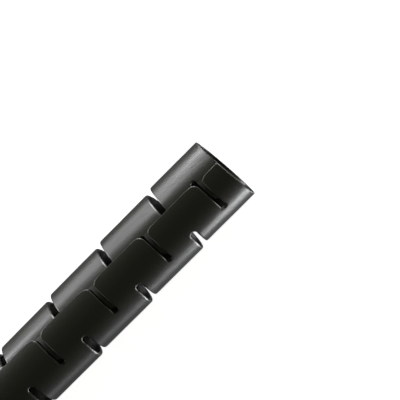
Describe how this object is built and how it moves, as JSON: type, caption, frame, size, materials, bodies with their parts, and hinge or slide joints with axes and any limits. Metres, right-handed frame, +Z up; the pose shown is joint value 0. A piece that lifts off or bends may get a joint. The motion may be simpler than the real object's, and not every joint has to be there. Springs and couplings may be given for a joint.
{
  "type": "spiral cable wrap",
  "caption": "Split plastic cable sleeve with overlapping lips cut into interlocking fingers along a slowly turning seam, for bundling cables",
  "frame": {"origin": "centre of the underside of the bounding box: halfway along the sleeve, on the floor below its axis", "axes": "+X runs along the sleeve to the cut end that the picture shows; +Z is up, and the outer fingers overlap the inner lip on top near that end; +Y is to the left of the seam seen from above with +X ahead"},
  "size_m": [1, 0.025, 0.025],
  "materials": {
    "black_plastic": "satin, fine-grained"
  },
  "bodies": {
    "root": {"wrap_sleeve": "black_plastic"}
  },
  "joints": []
}
